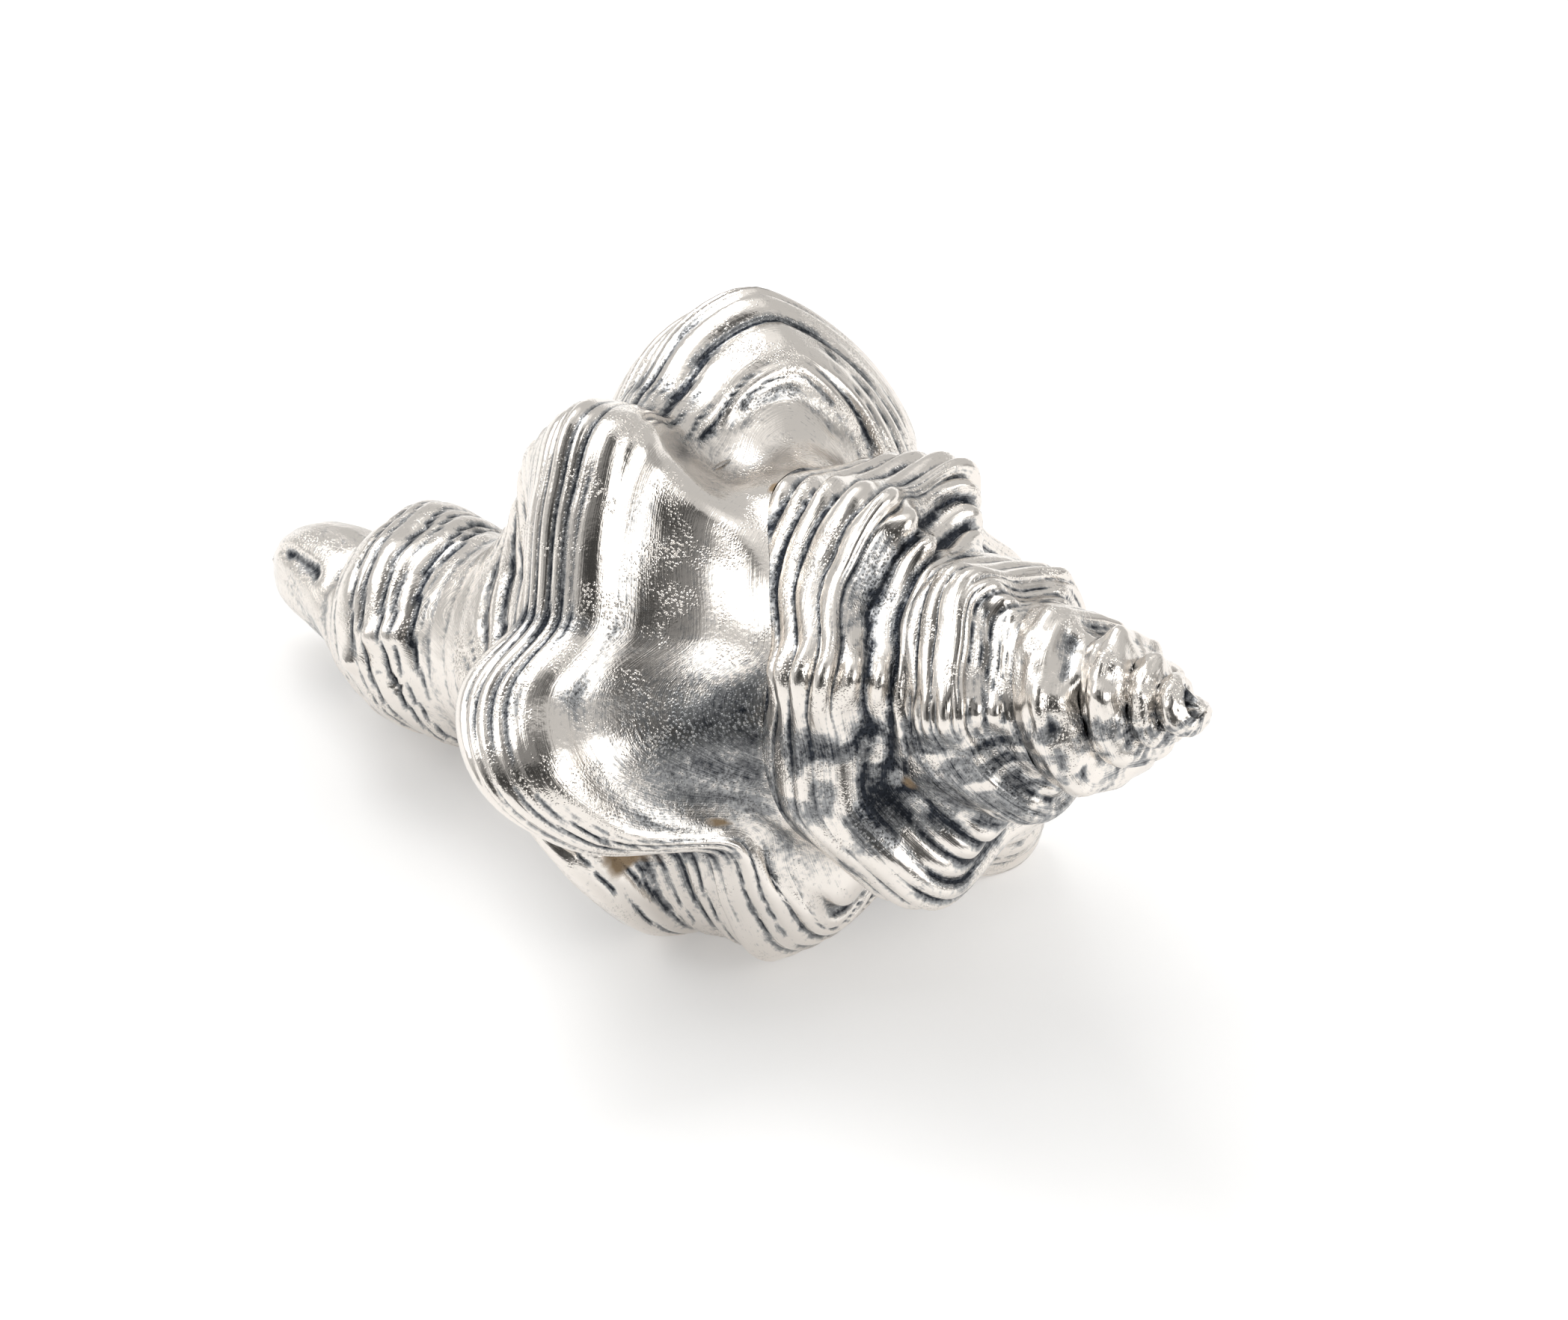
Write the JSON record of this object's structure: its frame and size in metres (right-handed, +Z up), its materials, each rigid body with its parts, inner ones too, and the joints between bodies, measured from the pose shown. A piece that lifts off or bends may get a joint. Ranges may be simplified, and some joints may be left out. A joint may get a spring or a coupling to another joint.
{
  "type": "silver-coated murex shell",
  "caption": "Right-coiled sea shell with a tall spire, blunt knobs around each whorl, a threaded rim, an open mouth underneath and an upturned canal, coated in silver.",
  "frame": {"origin": "centre of the bounding box in x and y, on the surface the shell rests on", "axes": "+X toward the apex, along the shell's longest extent; +Z up as it rests, mouth down; +Y toward the outer lip"},
  "size_m": [0.0827, 0.0478, 0.036],
  "materials": {
    "silver": "polished silver coat with a fine grain, darkened in the grooves"
  },
  "bodies": {
    "root": {"shell": "silver"}
  },
  "joints": []
}
